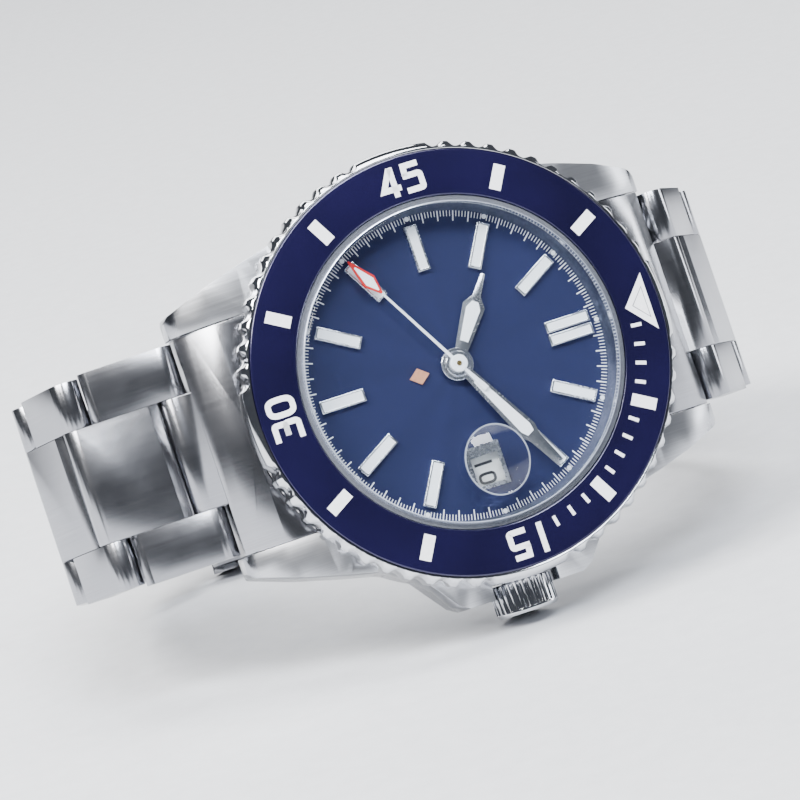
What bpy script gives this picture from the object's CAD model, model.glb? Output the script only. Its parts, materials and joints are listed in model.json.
# Visual model of the dive watch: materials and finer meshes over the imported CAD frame.
import json
import math

import bmesh
import bpy
from mathutils import Matrix, Vector


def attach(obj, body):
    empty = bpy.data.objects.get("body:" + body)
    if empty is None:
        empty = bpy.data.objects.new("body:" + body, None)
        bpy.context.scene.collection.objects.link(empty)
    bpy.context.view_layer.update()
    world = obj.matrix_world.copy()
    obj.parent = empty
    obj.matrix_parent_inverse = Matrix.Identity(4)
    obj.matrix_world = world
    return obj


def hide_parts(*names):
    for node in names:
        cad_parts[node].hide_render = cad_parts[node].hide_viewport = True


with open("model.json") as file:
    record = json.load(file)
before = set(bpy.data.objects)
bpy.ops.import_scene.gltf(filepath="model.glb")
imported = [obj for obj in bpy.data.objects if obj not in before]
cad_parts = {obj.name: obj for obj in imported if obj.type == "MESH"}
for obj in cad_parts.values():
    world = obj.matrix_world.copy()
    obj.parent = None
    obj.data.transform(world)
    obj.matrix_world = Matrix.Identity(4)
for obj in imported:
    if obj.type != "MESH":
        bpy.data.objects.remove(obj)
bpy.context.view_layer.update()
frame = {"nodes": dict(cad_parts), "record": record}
record, nodes = frame["record"], frame["nodes"]
joints = {j["name"]: j for j in record["behaviour"]["joints"]}

# ---------------------------------------------------------------- watch frame
# The watch's own axes in the row frame: +X to 12 o'clock, +Z out of the dial.
# Lengths below are millimetres from the outer face of the case back.
OUT = Vector(joints["bezel_turn"]["axis"]).normalized()
TWELVE = Vector((1, 0, 0))
NINE = OUT.cross(TWELVE)
BEZEL_JOINT_HEIGHT = 0.010   # metres from the case back to the point the bezel turns about
HOME = Vector(joints["bezel_turn"]["pos_m"]) - OUT * BEZEL_JOINT_HEIGHT
MM = 0.001
WATCH = Matrix((
    (TWELVE.x * MM, NINE.x * MM, OUT.x * MM, HOME.x),
    (TWELVE.y * MM, NINE.y * MM, OUT.y * MM, HOME.y),
    (TWELVE.z * MM, NINE.z * MM, OUT.z * MM, HOME.z),
    (0, 0, 0, 1),
))


def polar(r, a):
    return r * math.cos(math.radians(a)), r * math.sin(math.radians(a))


# ------------------------------------------------------------------ materials
def new_material(name):
    m = bpy.data.materials.new(name)
    m.use_nodes = True
    t = m.node_tree
    return m, t.nodes, t.links, t.nodes["Principled BSDF"]


def watch_coords(n, link):
    """Coordinates fixed to the piece, in metres along the watch's own axes."""
    tc = n.new("ShaderNodeTexCoord")
    move = n.new("ShaderNodeVectorMath")
    move.operation = "SUBTRACT"
    move.inputs[1].default_value = HOME
    link.new(tc.outputs["Object"], move.inputs[0])
    parts = []
    for axis in (TWELVE, NINE, OUT):
        d = n.new("ShaderNodeVectorMath")
        d.operation = "DOT_PRODUCT"
        d.inputs[1].default_value = axis
        link.new(move.outputs[0], d.inputs[0])
        parts.append(d.outputs["Value"])
    return parts


def scaled(n, link, parts, scale):
    c = n.new("ShaderNodeCombineXYZ")
    for i in range(3):
        m = n.new("ShaderNodeMath")
        m.operation = "MULTIPLY"
        m.inputs[1].default_value = scale[i]
        link.new(parts[i], m.inputs[0])
        link.new(m.outputs[0], c.inputs[i])
    return c.outputs[0]


def noise(n, link, vec, scale=1.0, detail=3.0, rough=0.5):
    t = n.new("ShaderNodeTexNoise")
    t.inputs["Scale"].default_value = scale
    t.inputs["Detail"].default_value = detail
    t.inputs["Roughness"].default_value = rough
    link.new(vec, t.inputs["Vector"])
    return t.outputs["Fac"]


def ranged(n, link, value, lo, hi, src=(0.0, 1.0)):
    r = n.new("ShaderNodeMapRange")
    r.inputs["From Min"].default_value, r.inputs["From Max"].default_value = src
    r.inputs["To Min"].default_value, r.inputs["To Max"].default_value = lo, hi
    link.new(value, r.inputs["Value"])
    return r.outputs["Result"]


def tint(n, link, value, a, b, src=(0.3, 0.7)):
    r = n.new("ShaderNodeValToRGB")
    r.color_ramp.elements[0].position, r.color_ramp.elements[1].position = src
    r.color_ramp.elements[0].color, r.color_ramp.elements[1].color = (*a, 1), (*b, 1)
    link.new(value, r.inputs["Fac"])
    return r.outputs["Color"]


def bump(n, link, bsdf, height, distance, strength=0.3):
    b = n.new("ShaderNodeBump")
    b.inputs["Strength"].default_value = strength
    b.inputs["Distance"].default_value = distance
    link.new(height, b.inputs["Height"])
    link.new(b.outputs["Normal"], bsdf.inputs["Normal"])


def steel(name, grain, light, dark, rough, depth=1.2e-6, strength=0.35):
    """Steel with a fine directional grain: grain is its frequency along each watch axis, per metre."""
    m, n, link, b = new_material(name)
    parts = watch_coords(n, link)
    fine = noise(n, link, scaled(n, link, parts, grain), 1.0, 4.0, 0.65)
    wear = noise(n, link, scaled(n, link, parts, (160, 160, 160)), 1.0, 5.0, 0.6)
    link.new(tint(n, link, fine, dark, light), b.inputs["Base Color"])
    both = n.new("ShaderNodeMath")
    both.operation = "ADD"
    link.new(ranged(n, link, fine, rough[0], rough[1]), both.inputs[0])
    link.new(ranged(n, link, wear, -0.03, 0.05, (0.3, 0.75)), both.inputs[1])
    link.new(both.outputs[0], b.inputs["Roughness"])
    b.inputs["Metallic"].default_value = 1.0
    bump(n, link, b, fine, depth, strength)
    return m


def two_finish(name):
    """Case steel: brushed where it faces out of the dial, mirror polished on the flanks."""
    m, n, link, b = new_material(name)
    parts = watch_coords(n, link)
    tc = n.new("ShaderNodeTexCoord")
    facing = n.new("ShaderNodeVectorMath")
    facing.operation = "DOT_PRODUCT"
    facing.inputs[1].default_value = OUT
    link.new(tc.outputs["Normal"], facing.inputs[0])
    top = ranged(n, link, facing.outputs["Value"], 0.0, 1.0, (0.55, 0.72))
    fine = noise(n, link, scaled(n, link, parts, (90, 9000, 90)), 1.0, 4.0, 0.6)
    wear = noise(n, link, scaled(n, link, parts, (700, 700, 700)), 1.0, 4.0, 0.6)
    brushed_colour = tint(n, link, fine, (0.54, 0.55, 0.58), (0.66, 0.67, 0.7))
    mirror_colour = tint(n, link, wear, (0.34, 0.35, 0.38), (0.42, 0.43, 0.46))
    brushed_rough, mirror_rough = ranged(n, link, fine, 0.26, 0.36), ranged(n, link, wear, 0.06, 0.14)
    # the Mix node keeps a pair of inputs and an output for each type of value
    for socket, kind, first_input, output, mirror, brushed in (
        ("Base Color", "RGBA", 6, 2, mirror_colour, brushed_colour),
        ("Roughness", "FLOAT", 2, 0, mirror_rough, brushed_rough),
    ):
        mix = n.new("ShaderNodeMix")
        mix.data_type = kind
        link.new(top, mix.inputs[0])
        link.new(mirror, mix.inputs[first_input])
        link.new(brushed, mix.inputs[first_input + 1])
        link.new(mix.outputs[output], b.inputs[socket])
    b.inputs["Metallic"].default_value = 1.0
    bump(n, link, b, fine, 6e-7, 0.2)
    return m


POLISHED = steel("steel_polished", (900, 900, 900), (0.72, 0.73, 0.76), (0.62, 0.63, 0.66), (0.05, 0.1),
                 4e-7, 0.12)
BRUSHED = steel("steel_brushed_lengthwise", (80, 15000, 80), (0.4, 0.405, 0.43), (0.31, 0.315, 0.34), (0.17, 0.26),
                8e-7, 0.26)
SATIN = two_finish("steel_case_satin_top_polished_flank")
ROUND = steel("steel_turned", (3000, 3000, 3000), (0.42, 0.43, 0.45), (0.32, 0.33, 0.35), (0.2, 0.3))
HARD = steel("steel_hardened", (2500, 2500, 2500), (0.5, 0.5, 0.53), (0.4, 0.4, 0.42), (0.2, 0.34))


def metal(name, light, dark, rough, scale=2200):
    """Metal with an even fine grain."""
    return steel(name, (scale, scale, scale), light, dark, rough, 6e-7, 0.2)


BRASS = metal("wheel_brass", (0.83, 0.62, 0.27), (0.7, 0.5, 0.2), (0.2, 0.32))
PLATED = metal("rhodium_plate", (0.72, 0.72, 0.7), (0.6, 0.6, 0.59), (0.25, 0.4), 900)
SILVER = metal("marker_silver", (0.93, 0.94, 0.97), (0.82, 0.83, 0.86), (0.16, 0.34), 5000)
CHAPTER = metal("chapter_ring_satin", (0.2, 0.22, 0.3), (0.13, 0.15, 0.21), (0.3, 0.42), 2600)


def painted(name, light, dark, rough, coat=0.0, metallic=0.0, scale=1800, depth=1e-6, strength=0.2):
    """Paint, plastic or enamel with a fine grain, under a clear coat where coat is above zero."""
    m, n, link, b = new_material(name)
    parts = watch_coords(n, link)
    f = noise(n, link, scaled(n, link, parts, (scale, scale, scale)), 1.0, 4.0, 0.6)
    link.new(tint(n, link, f, dark, light), b.inputs["Base Color"])
    link.new(ranged(n, link, f, rough[0], rough[1]), b.inputs["Roughness"])
    b.inputs["Metallic"].default_value = metallic
    b.inputs["Coat Weight"].default_value = coat
    b.inputs["Coat Roughness"].default_value = 0.03
    bump(n, link, b, f, depth, strength)
    return m


ROSE = painted("rose_gold", (0.92, 0.44, 0.27), (0.8, 0.36, 0.2), (0.24, 0.36), metallic=0.45, scale=3000)
LUME = painted("lume_white", (0.95, 0.97, 0.98), (0.88, 0.9, 0.92), (0.45, 0.6), scale=5000, depth=3e-6,
               strength=0.5)
PRINT = painted("dial_print_white", (0.93, 0.94, 0.97), (0.82, 0.84, 0.88), (0.4, 0.5), scale=4000)
MARKS = painted("bezel_fill_white", (0.95, 0.96, 0.97), (0.86, 0.87, 0.9), (0.28, 0.4), coat=0.4, scale=4200,
                depth=3e-6)
RED = painted("red_enamel", (0.66, 0.03, 0.03), (0.5, 0.02, 0.02), (0.2, 0.3), coat=0.6)
DATE = painted("date_disc_white", (0.86, 0.86, 0.83), (0.8, 0.8, 0.77), (0.5, 0.6))
INK = painted("black_ink", (0.03, 0.03, 0.035), (0.015, 0.015, 0.02), (0.4, 0.55))
RUBBER = painted("gasket_rubber", (0.035, 0.035, 0.038), (0.02, 0.02, 0.022), (0.55, 0.75))
SEAL = painted("crystal_seal_clear_nylon", (0.66, 0.69, 0.78), (0.52, 0.55, 0.64), (0.1, 0.16), coat=1.0,
               metallic=0.85, scale=2500)
SEAM = painted("bezel_engraved_line", (0.2, 0.2, 0.23), (0.1, 0.1, 0.12), (0.35, 0.5))
RUBY = painted("ruby", (0.55, 0.01, 0.06), (0.4, 0.005, 0.04), (0.08, 0.14), coat=1.0)


def ceramic():
    """Glossy deep blue ceramic under a clear hard surface, with slight depth variation."""
    m, n, link, b = new_material("bezel_ceramic_blue")
    parts = watch_coords(n, link)
    cloud = noise(n, link, scaled(n, link, parts, (90, 90, 90)), 1.0, 3.0, 0.5)
    grit = noise(n, link, scaled(n, link, parts, (7000, 7000, 7000)), 1.0, 2.0, 0.5)
    link.new(tint(n, link, cloud, (0.0035, 0.0028, 0.016), (0.006, 0.0046, 0.028)), b.inputs["Base Color"])
    link.new(ranged(n, link, grit, 0.14, 0.22), b.inputs["Roughness"])
    b.inputs["IOR"].default_value = 1.6
    b.inputs["Specular Tint"].default_value = (0.7, 0.7, 1.0, 1)
    b.inputs["Coat Weight"].default_value = 0.25
    b.inputs["Coat Roughness"].default_value = 0.04
    bump(n, link, b, grit, 4e-7, 0.15)
    return m


def sunburst():
    """Blue dial with a very fine brushing that radiates from the centre."""
    m, n, link, b = new_material("dial_sunburst_blue")
    parts = watch_coords(n, link)
    angle = n.new("ShaderNodeMath")
    angle.operation = "ARCTAN2"
    link.new(parts[1], angle.inputs[0])
    link.new(parts[0], angle.inputs[1])
    ray = n.new("ShaderNodeCombineXYZ")
    link.new(angle.outputs[0], ray.inputs[0])
    fine = noise(n, link, ray.outputs[0], 140.0, 4.0, 0.7)
    wide = noise(n, link, ray.outputs[0], 2.2, 1.0, 0.4)
    grain = noise(n, link, scaled(n, link, parts, (9000, 9000, 9000)), 1.0, 2.0, 0.5)
    mix = n.new("ShaderNodeMath")
    mix.operation = "MULTIPLY_ADD"
    mix.inputs[1].default_value = 0.45
    link.new(fine, mix.inputs[0])
    link.new(ranged(n, link, wide, 0.15, 0.4, (0.3, 0.7)), mix.inputs[2])
    blue = tint(n, link, mix.outputs[0], (0.011, 0.015, 0.056), (0.019, 0.025, 0.088), (0.15, 0.85))
    link.new(blue, b.inputs["Base Color"])
    link.new(ranged(n, link, fine, 0.34, 0.48), b.inputs["Roughness"])
    b.inputs["Metallic"].default_value = 0.35
    b.inputs["Coat Weight"].default_value = 0.2
    b.inputs["Coat Roughness"].default_value = 0.15
    bump(n, link, b, grain, 8e-7, 0.15)
    return m


def sapphire_lens():
    """Thick clear glass that bends the light."""
    m, n, link, b = new_material("sapphire_lens")
    b.inputs["Base Color"].default_value = (0.98, 0.99, 1.0, 1)
    b.inputs["Transmission Weight"].default_value = 1.0
    b.inputs["IOR"].default_value = 1.45
    smear = noise(n, link, scaled(n, link, watch_coords(n, link), (700, 700, 700)), 1.0, 3.0, 0.5)
    link.new(ranged(n, link, smear, 0.0, 0.02), b.inputs["Roughness"])
    return m


def sapphire_crystal():
    """Flat clear crystal: lets the light through and mirrors a little of the room at a slant."""
    m, n, link, _ = new_material("sapphire_crystal")
    out = n["Material Output"]
    clear = n.new("ShaderNodeBsdfTransparent")
    clear.inputs["Color"].default_value = (0.97, 0.985, 1.0, 1)
    gloss = n.new("ShaderNodeBsdfGlossy")
    slant = n.new("ShaderNodeLayerWeight")
    slant.inputs["Blend"].default_value = 0.5
    steep = n.new("ShaderNodeMath")
    steep.operation = "POWER"
    steep.inputs[1].default_value = 5.0
    link.new(slant.outputs["Facing"], steep.inputs[0])
    smear = noise(n, link, scaled(n, link, watch_coords(n, link), (500, 500, 500)), 1.0, 3.0, 0.5)
    link.new(ranged(n, link, smear, 0.008, 0.022), gloss.inputs["Roughness"])
    mix = n.new("ShaderNodeMixShader")
    link.new(ranged(n, link, steep.outputs[0], 0.025, 0.8), mix.inputs[0])
    link.new(clear.outputs[0], mix.inputs[1])
    link.new(gloss.outputs[0], mix.inputs[2])
    link.new(mix.outputs[0], out.inputs["Surface"])
    return m


CERAMIC, DIAL, GLASS, LENS = ceramic(), sunburst(), sapphire_crystal(), sapphire_lens()
EDGE = painted("sapphire_ground_edge", (0.62, 0.68, 0.8), (0.5, 0.56, 0.7), (0.12, 0.24), coat=0.6,
               metallic=0.6, scale=3000)


def paint(material, *names):
    for name in names:
        o = nodes[name]
        o.data.materials.clear()
        o.data.materials.append(material)


# ---------------------------------------------------------------- mesh helpers
def soften(o, width=0.12, segments=2, angle=28):
    """Small rounded edges and smooth shading, as modifiers on a CAD node."""
    weld = o.modifiers.new("weld", "WELD")
    weld.merge_threshold = 2e-6
    bev = o.modifiers.new("edge", "BEVEL")
    bev.width = width * MM
    bev.segments = segments
    bev.limit_method = "ANGLE"
    bev.angle_limit = math.radians(angle)
    bev.harden_normals = True
    bev.use_clamp_overlap = True
    bev.miter_outer = "MITER_ARC"
    for p in o.data.polygons:
        p.use_smooth = True


def piece(name, verts, faces, body, material, slot=None, sharp=30, stands_for=()):
    """Mesh in watch millimetres, riding on a body."""
    me = bpy.data.meshes.new(name)
    me.from_pydata([WATCH @ Vector(v) for v in verts], [], faces)
    bm = bmesh.new()
    bm.from_mesh(me)
    bmesh.ops.recalc_face_normals(bm, faces=bm.faces)
    bm.to_mesh(me)
    bm.free()
    for p in me.polygons:
        p.use_smooth = True
    me.set_sharp_from_angle(angle=math.radians(sharp))
    me.materials.append(material)
    o = bpy.data.objects.new(name, me)
    bpy.context.scene.collection.objects.link(o)
    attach(o, body)
    if stands_for:
        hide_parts(*stands_for)
    return o


def plates(outlines, z0, z1):
    """Vertices and faces of flat plates with the given outlines in the dial plane."""
    verts, faces = [], []
    for outline in outlines:
        k, base = len(outline), len(verts)
        verts += [(x, y, z0) for x, y in outline] + [(x, y, z1) for x, y in outline]
        faces.append([base + i for i in reversed(range(k))])
        faces.append([base + k + i for i in range(k)])
        faces += [[base + i, base + (i + 1) % k, base + k + (i + 1) % k, base + k + i] for i in range(k)]
    return verts, faces


def turned_rect(cx, cy, length, width, angle):
    """Rectangle whose length runs along angle, in degrees."""
    c, s = math.cos(math.radians(angle)), math.sin(math.radians(angle))
    corners = ((-length / 2, -width / 2), (length / 2, -width / 2), (length / 2, width / 2), (-length / 2, width / 2))
    return [(cx + x * c - y * s, cy + x * s + y * c) for x, y in corners]


def lathe(profile, steps, dent=None):
    """Closed profile of (r, z, share) turned about the dial axis; dent(angle) times share is taken off r."""
    k, verts, faces = len(profile), [], []
    for i in range(steps):
        a = 2 * math.pi * i / steps
        d = dent(math.degrees(a)) if dent else 0.0
        for r, z, share in profile:
            rr = r - d * share
            verts.append((rr * math.cos(a), rr * math.sin(a), z))
    for i in range(steps):
        j = (i + 1) % steps
        faces += [[i * k + q, j * k + q, j * k + (q + 1) % k, i * k + (q + 1) % k] for q in range(k)]
    return verts, faces


def ellipse(cx, cy, rx, ry, count=24, square=1.0):
    """Closed oval; a square power below one makes it boxier."""
    out = []
    for i in range(count):
        c, s = math.cos(2 * math.pi * i / count), math.sin(2 * math.pi * i / count)
        out.append((cx + rx * math.copysign(abs(c) ** square, c), cy + ry * math.copysign(abs(s) ** square, s)))
    return out


def rounded(path, times=2):
    """Open path with its corners cut round."""
    for _ in range(times):
        out = [path[0]]
        for (ax, ay), (bx, by) in zip(path, path[1:]):
            out += [(ax * 0.75 + bx * 0.25, ay * 0.75 + by * 0.25), (ax * 0.25 + bx * 0.75, ay * 0.25 + by * 0.75)]
        path = out + [path[-1]]
    return path


SIX = [(0.66, 1.02), (0.1, 1.26), (-0.52, 0.95), (-0.76, 0.1), (-0.72, -0.75), (-0.3, -1.26), (0.3, -1.26),
       (0.78, -0.85), (0.78, -0.1), (0.3, 0.24), (-0.3, 0.24), (-0.7, -0.2)]
# centre lines of the digits, about 2 wide and 3 high; True marks a closed line
DIGITS = {
    "0": [(ellipse(0, 0, 0.76, 1.23, 40, 0.62), True)],
    "1": [([(0.0, 1.5), (0.0, -1.5)], False)],
    "2": [(rounded([(-0.74, 0.7), (-0.6, 1.2), (0, 1.28), (0.62, 1.15), (0.76, 0.6), (0.4, 0.05), (-0.72, -1.2)]),
           False),
          ([(-0.86, -1.24), (0.9, -1.24)], False)],
    "3": [(rounded([(-0.88, 1.23), (0.2, 1.23), (0.76, 1.23), (0.76, 0.7), (0.76, 0.06), (0.3, 0.06), (-0.4, 0.06)]),
           False),
          (rounded([(-0.4, 0.06), (0.3, 0.06), (0.82, 0.06), (0.82, -0.5), (0.82, -1.23), (0.2, -1.23),
                    (-0.92, -1.23)]), False)],
    "4": [([(0.3, 1.4), (-0.8, -0.66), (1.0, -0.66)], False), ([(0.38, 1.5), (0.38, -1.5)], False)],
    "5": [([(0.84, 1.23), (-0.66, 1.23), (-0.72, 0.24)], False),
          (rounded([(-0.98, 0.24), (0.2, 0.24), (0.8, 0.24), (0.8, -0.3), (0.8, -0.8), (0.8, -1.23), (0.3, -1.23),
                    (-0.9, -1.23)]), False)],
    "6": [(rounded(SIX), False)],
    "7": [([(-0.86, 1.24), (0.74, 1.24), (-0.15, -1.5)], False)],
    "8": [(ellipse(0, 0.66, 0.62, 0.6), True), (ellipse(0, -0.62, 0.76, 0.64), True)],
    "9": [(rounded([(-x, -y) for x, y in SIX]), False)],
}


def ribbon(path, closed, width, place, z0, z1, verts, faces):
    """Flat strip along a path, placed in the dial plane by place(x, y)."""
    count, first = len(path), len(verts)
    for i, (x, y) in enumerate(path):
        before = path[i - 1] if i or closed else path[i]
        after = path[(i + 1) % count] if i < count - 1 or closed else path[i]
        d0 = Vector((x - before[0], y - before[1]))
        d1 = Vector((after[0] - x, after[1] - y))
        d0, d1 = (d0 if d0.length else d1).normalized(), (d1 if d1.length else d0).normalized()
        t = (d0 + d1).normalized()
        half = width / 2 / max(0.5, t.dot(d1))
        for sx, z in ((1, z0), (1, z1), (-1, z1), (-1, z0)):
            px, py = place(x - t.y * half * sx, y + t.x * half * sx)
            verts.append((px, py, z))
    for i in range(count if closed else count - 1):
        a, b = first + 4 * i, first + 4 * ((i + 1) % count)
        faces.extend([a + q, a + (q + 1) % 4, b + (q + 1) % 4, b + q] for q in range(4))
    if not closed:
        faces.extend([[first + q for q in range(4)], [first + 4 * (count - 1) + q for q in reversed(range(4))]])


def written(text, angle, radius, size, spacing, width, z0, z1, verts, faces, along=0.0, out=True):
    """Text across the radius at an angle, its top pointing outwards or along the tangent."""
    ux, uy = polar(1.0, angle)
    up, right = ((ux, uy), (uy, -ux)) if out else ((-uy, ux), (ux, uy))
    cx, cy = radius * ux, radius * uy
    for i, ch in enumerate(text):
        shift = (i - (len(text) - 1) / 2) * spacing + along
        for path, closed in DIGITS[ch]:
            def place(x, y):
                r, u = shift + x * size, y * size
                return cx + right[0] * r + up[0] * u, cy + right[1] * r + up[1] * u
            ribbon(path, closed, width / size, place, z0, z1, verts, faces)


# -------------------------------------------------------------------- the bezel
NOTCHES = [90 * q + 12 + 6 * i for q in range(4) for i in range(12)]   # four groups of twelve, in degrees
BEZEL_R, NOTCH_HALF_WIDTH, NOTCH_DEPTH = 21.4, 0.86, 0.45


def scallop(angle):
    """Depth of the finger notch at an angle: round-bottomed, with a rounded lip."""
    near = min(abs((angle - a + 180) % 360 - 180) for a in NOTCHES)
    t = math.radians(near) * BEZEL_R / NOTCH_HALF_WIDTH
    return NOTCH_DEPTH * (1 - t * t) ** 1.3 if t < 1 else 0.0


ring_profile = [
    (17.3, 8.78, 0), (20.9, 8.78, 0), (21.25, 8.95, 1), (21.38, 9.25, 1), (BEZEL_R, 9.7, 1), (BEZEL_R, 11.0, 1),
    (21.37, 11.25, 0.98), (21.25, 11.5, 0.9), (21.05, 11.8, 0.62), (20.88, 12.0, 0.3), (20.76, 12.08, 0.1),
    (20.64, 12.1, 0), (20.57, 12.07, 0), (20.54, 11.98, 0), (20.54, 11.5, 0), (17.3, 11.5, 0),
]
piece("bezel_grip_ring", *lathe(ring_profile, 1440, scallop), "bezel", POLISHED, "steel", 40, ("bezel_ring",))

disc_profile = [
    (16.06, 11.52), (20.5, 11.52), (20.5, 12.08), (20.47, 12.15), (20.4, 12.19), (20.3, 12.2),
    (16.24, 12.2), (16.14, 12.185), (16.08, 12.14), (16.06, 12.06),
]
piece("bezel_ceramic_disc", *lathe([(r, z, 0) for r, z in disc_profile], 360), "bezel", CERAMIC, "ceramic_blue", 60,
      ("bezel_insert",))

FILL0, FILL1 = 12.17, 12.206   # underside and top of the filled scale
shapes = [[(16.95, 0.0), (19.5, 2.85), (19.5, -2.85)]]
for minute in range(1, 60):
    a = -6 * minute
    if minute % 5 == 0 and minute % 15:
        shapes.append(turned_rect(*polar(18.15, a), 2.5, 1.15, a))
    elif minute < 14 and minute % 5:
        shapes.append(turned_rect(*polar(17.55, a), 1.05, 0.34, a))
verts, faces = plates(shapes, FILL0, FILL1)
for text, shift in (("15", -0.73), ("30", 0.0), ("45", 0.0)):
    written(text, -6 * int(text), 18.2, 0.98, 2.35, 0.56, FILL0, FILL1, verts, faces, shift)
piece("bezel_scale", verts, faces, "bezel", MARKS, "lume_white", 30, ("bezel_marks",))

# thin engraved line inside the triangle of the insert
verts, faces = [], []
ribbon([(17.75, 0.0), (19.12, 1.52), (19.12, -1.52)], True, 0.085, lambda x, y: (x, y), 12.19, 12.212, verts, faces)
piece("bezel_triangle_line", verts, faces, "bezel", SEAM, "lume_white")

# --------------------------------------------------------------------- the dial
TOP = 9.4   # face of the dial
PRINT_T = 0.012   # thickness of a print
STEPS = 60 * 5   # five marks a minute
ticks = []
for i in range(STEPS):
    a = -i * 360 / STEPS
    if i % 25 == 0:
        cx, cy = polar(14.72, a)
        ticks.append(ellipse(cx, cy, 0.24, 0.24, 16))
    elif i % 5 == 0:
        ticks.append(turned_rect(*polar(14.45, a), 1.0, 0.12, a))
    else:
        ticks.append(turned_rect(*polar(14.66, a), 0.56, 0.075, a))
piece("dial_minute_track", *plates(ticks, TOP, TOP + PRINT_T), "case", PRINT, "lume_white")

# numbers of the date disc, whose face is at DISC_TOP; day 10 shows in the window at 3 o'clock
DISC_TOP, DAYS, SHOWN_DAY = 8.9, 31, 10
verts, faces = [], []
for day in range(1, DAYS + 1):
    written(str(day), (day - SHOWN_DAY) * 360 / DAYS - 90, 10.28, 0.42, 1.02, 0.2, DISC_TOP, DISC_TOP + PRINT_T,
            verts, faces, out=False)
piece("date_numbers", verts, faces, "calendar", INK, "date_white")


# --------------------------------------------------------------------- the hands
def hand_outline(points, turn):
    """Closed outline of a hand given as (distance from the centre, half width), turned clockwise from 12."""
    a = math.radians(-turn)
    outline = points + [(x, -w) for x, w in reversed(points)]
    return [(x * math.cos(a) - y * math.sin(a), x * math.sin(a) + y * math.cos(a)) for x, y in outline]


def faceted_hand(name, points, z, thick, turn, body, material, slot, hub=None, stands_for=()):
    """Hand with a raised spine and bevelled sides, and its round hub."""
    a = math.radians(-turn)
    c, s = math.cos(a), math.sin(a)
    verts, faces = [], []

    def put(x, y, h):
        verts.append((x * c - y * s, x * s + y * c, h))
        return len(verts) - 1

    rows = []
    for x, w in points:
        rows.append([put(x, w, z), put(x, w, z + thick * 0.45), put(x, 0, z + thick), put(x, -w, z + thick * 0.45),
                     put(x, -w, z)])
    for p, q in zip(rows, rows[1:]):
        for i in range(4):
            faces.append([p[i], p[i + 1], q[i + 1], q[i]])
        faces.append([p[4], p[0], q[0], q[4]])
    faces += [list(reversed(rows[0])), rows[-1]]
    if hub:
        r_in, r_out = hub
        hub_top = z + thick + 0.02
        profile = [(r_in, z), (r_out, z), (r_out, z + thick * 0.7), (r_out - 0.08, hub_top), (r_in, hub_top)]
        hub_verts, hub_faces = lathe([(r, h, 0) for r, h in profile], 48)
        base = len(verts)
        verts += hub_verts
        faces += [[base + i for i in face] for face in hub_faces]
    return piece(name, verts, faces, body, material, slot, 20, stands_for)


HOUR_TURN, MINUTE_TURN, SECOND_TURN = 305.1, 61.6, 240.0   # degrees clockwise from 12
hour_shape = [(1.2, 0.62), (5.9, 1.12), (6.9, 0.42), (9.15, 0.2)]
minute_shape = [(0.95, 0.52), (9.2, 1.0), (10.2, 0.62), (13.55, 0.4)]
faceted_hand("hour_hand_polished", hour_shape, 9.95, 0.22, HOUR_TURN, "hour_set", SILVER, "polished", (1.0, 1.6),
             ("hour_hand",))
faceted_hand("minute_hand_polished", minute_shape, 10.3, 0.22, MINUTE_TURN, "minute_set", SILVER, "polished",
             (0.68, 1.25), ("minute_hand",))
fill = hand_outline([(2.3, 0.4), (5.6, 0.7), (6.3, 0.32)], HOUR_TURN)
piece("hour_hand_lume", *plates([fill], 10.05, 10.18), "hour_set", LUME, "lume_white")
fill = hand_outline([(2.3, 0.3), (8.9, 0.62), (9.6, 0.38)], MINUTE_TURN)
piece("minute_hand_lume", *plates([fill], 10.4, 10.53), "minute_set", LUME, "lume_white")

seconds = [(-3.6, 0.3), (-1.2, 0.16), (10.1, 0.11)]
faceted_hand("second_hand_white", seconds, 10.68, 0.14, SECOND_TURN, "second_set", PRINT, "polished", (0.02, 0.85),
             ("second_hand",))
arrow = hand_outline([(9.95, 0.1), (11.6, 0.75), (14.35, 0.07)], SECOND_TURN)
piece("second_hand_arrow", *plates([arrow], 10.69, 10.82), "second_set", RED, "red_enamel")
fill = hand_outline([(10.35, 0.06), (11.55, 0.5), (13.5, 0.08)], SECOND_TURN)
piece("second_hand_arrow_lume", *plates([fill], 10.75, 10.84), "second_set", LUME, "lume_white")

# polished frame of the date window
outer = [(-1.32, -11.62), (1.32, -11.62), (1.32, -8.42), (-1.32, -8.42)]
inner = [(-1.02, -11.32), (1.02, -11.32), (1.02, -9.22), (-1.02, -9.22)]
verts = [(x, y, z) for outline in (outer, inner) for z in (TOP, TOP + 0.05) for x, y in outline]
faces = []
for i in range(4):
    j = (i + 1) % 4
    faces += [[i, j, 4 + j, 4 + i], [8 + i, 12 + i, 12 + j, 8 + j]]
    faces += [[4 + i, 4 + j, 12 + j, 12 + i], [i, 8 + i, 8 + j, j]]
piece("date_window_frame", verts, faces, "case", SILVER, "polished")

# ---------------------------------------------------- edges of the glass parts
rim = [(15.34, 12.62), (15.4, 12.6), (15.47, 12.48), (15.47, 12.1), (15.43, 12.1), (15.41, 12.46)]
piece("crystal_ground_edge", *lathe([(r, z, 0) for r, z in rim], 240), "case", EDGE, "sapphire")
verts, faces = [], []
ribbon(ellipse(0, -9.9, 3.1, 3.4, 72), True, 0.14, lambda x, y: (x, y), 12.66, 12.9, verts, faces)
piece("date_lens_edge", verts, faces, "case", EDGE, "sapphire")

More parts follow.
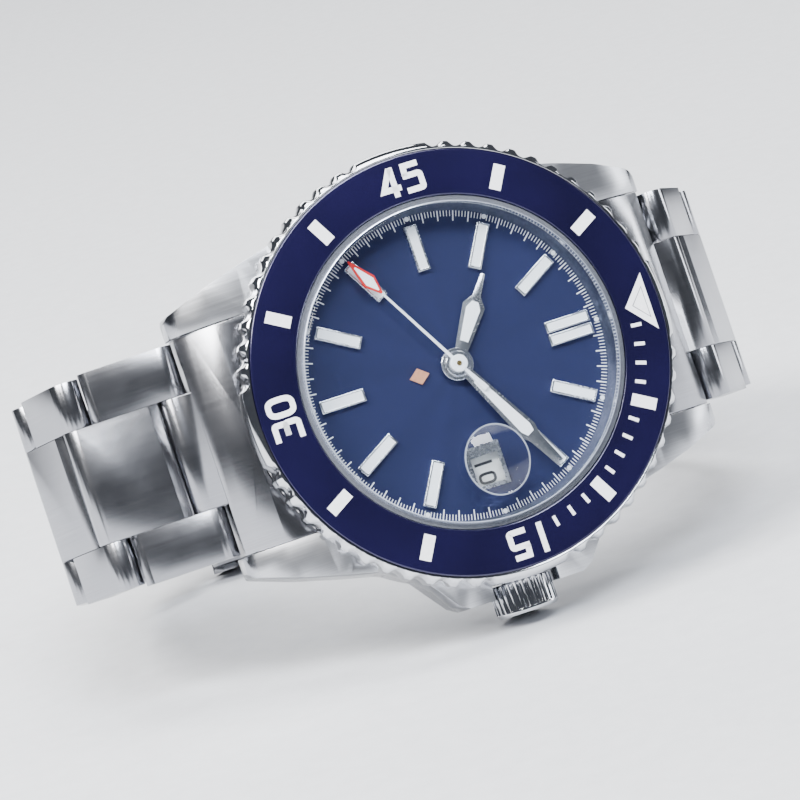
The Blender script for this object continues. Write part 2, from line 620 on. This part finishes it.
# ------------------------------------------------------------- CAD nodes kept
links = [n for n in nodes if n.startswith("link_")]
paint(BRUSHED, *links, "end_link_6", "end_link_12", "clasp_cover", "clasp_lock")
paint(SATIN, "case_middle")
paint(CHAPTER, "chapter_ring")
paint(POLISHED, "crown", "crown_tube", "clasp_blade_long", "clasp_blade_short")
paint(ROUND, "case_back")
paint(HARD, "spring_bars", "bezel_wire", "click_spring", "winding_stem", "stem_detent", "bridge_screws",
      "pallet_fork", "escape_wheel", "hairspring", "mainspring")
paint(PLATED, "main_plate", "train_bridge", "balance_cock", "movement_ring", "rotor")
paint(BRASS, "barrel", "centre_wheel", "third_wheel", "fourth_wheel", "hour_wheel", "minute_wheel", "balance_wheel")
paint(DIAL, "dial")
paint(SILVER, "hour_markers")
paint(LUME, "marker_lume")
paint(ROSE, "dial_emblem")
paint(GLASS, "crystal")
paint(LENS, "date_magnifier")
paint(RUBBER, "back_gasket")
paint(SEAL, "crystal_gasket")
paint(DATE, "date_disc")
paint(RUBY, "jewels")
for name in links:
    soften(nodes[name], 0.16)
for name in ("end_link_6", "end_link_12", "clasp_cover", "clasp_lock"):
    soften(nodes[name], 0.12)
soften(nodes["case_middle"], 0.25, 3)
soften(nodes["case_back"], 0.12)
for name in ("crown", "clasp_blade_long", "clasp_blade_short", "hour_markers"):
    soften(nodes[name], 0.05)
for name in ("chapter_ring", "crystal", "date_magnifier", "crystal_gasket", "dial"):
    for p in nodes[name].data.polygons:
        p.use_smooth = True

# ------------------------------------------------------------- stage and lights
floor_mesh = bpy.data.meshes.new("floor")
HALF = 6.0   # half the floor's width, in metres
floor_mesh.from_pydata([(-HALF, -HALF, 0), (HALF, -HALF, 0), (HALF, HALF, 0), (-HALF, HALF, 0)], [], [(0, 1, 2, 3)])
floor = bpy.data.objects.new("floor", floor_mesh)
bpy.context.scene.collection.objects.link(floor)
m, n, link, b = new_material("floor_pale")
tc = n.new("ShaderNodeTexCoord")
speck = noise(n, link, tc.outputs["Object"], 400.0, 3.0, 0.6)
link.new(tint(n, link, speck, (0.5, 0.51, 0.53), (0.54, 0.55, 0.57)), b.inputs["Base Color"])
b.inputs["Roughness"].default_value = 0.6
floor_mesh.materials.append(m)


def area(name, at, aim, size_x, size_y, watts, color=(1, 1, 1)):
    """Soft rectangular light at a point, turned towards another; metres and watts."""
    light = bpy.data.lights.new(name, "AREA")
    light.shape = "RECTANGLE"
    light.size, light.size_y = size_x, size_y
    light.energy = watts
    light.color = color
    o = bpy.data.objects.new(name, light)
    o.location = at
    o.rotation_mode = "QUATERNION"
    o.rotation_quaternion = (Vector(aim) - Vector(at)).to_track_quat("-Z", "Y")
    bpy.context.scene.collection.objects.link(o)


target = (0.0, 0.0, 0.025)
area("key_left", (-0.5, -0.2, 0.6), target, 0.5, 0.3, 18.0, (1.0, 0.99, 0.97))
area("front_high", (0.0, -0.55, 0.8), target, 0.5, 0.25, 15.0, (0.9, 0.94, 1.0))
area("fill_right", (0.7, 0.0, 0.22), target, 0.12, 0.5, 2.0, (0.93, 0.96, 1.0))
area("top", (0.05, 0.1, 0.8), target, 0.6, 0.4, 11.0)
area("back", (-0.1, 0.8, 0.5), target, 0.9, 0.3, 6.0)
world = bpy.data.worlds.new("studio")
bpy.context.scene.world = world
world.use_nodes = True
world.node_tree.nodes["Background"].inputs["Color"].default_value = (0.8, 0.86, 1.0, 1)
world.node_tree.nodes["Background"].inputs["Strength"].default_value = 0.1

# -------------------------------------------------------------------- camera
# Where the camera stands and looks in the watch frame. The eye was found for a scale of
# marks at radius 17.0, and the marks of the bezel are at 18.15 and 12.2 above the case back.
SCALE = 18.15 / 17.0
EYE = Vector((-99.64, -18.45, 372.30)) * SCALE + Vector((0, 0, 12.2))
RIGHT, DOWN = Vector((0.9223, -0.3205, 0.216)), Vector((-0.3012, -0.9462, -0.1182))
AHEAD = Vector((0.2422, 0.044, -0.9692))
SENSOR_MM, FOCAL_PX, IMAGE_PX = 36.0, 4341, 800
turn = WATCH.to_3x3() * 1000.0
right, down, ahead = turn @ RIGHT, turn @ DOWN, turn @ AHEAD
up, back = -down, -ahead
cam = bpy.data.cameras.new("camera")
cam.sensor_width = SENSOR_MM
cam.lens = SENSOR_MM * FOCAL_PX / IMAGE_PX
cam.clip_start, cam.clip_end = 0.01, 20
eye = bpy.data.objects.new("camera", cam)
here = WATCH @ EYE
eye.matrix_world = Matrix((
    (right.x, up.x, back.x, here.x), (right.y, up.y, back.y, here.y), (right.z, up.z, back.z, here.z), (0, 0, 0, 1),
))
bpy.context.scene.collection.objects.link(eye)
bpy.context.scene.camera = eye
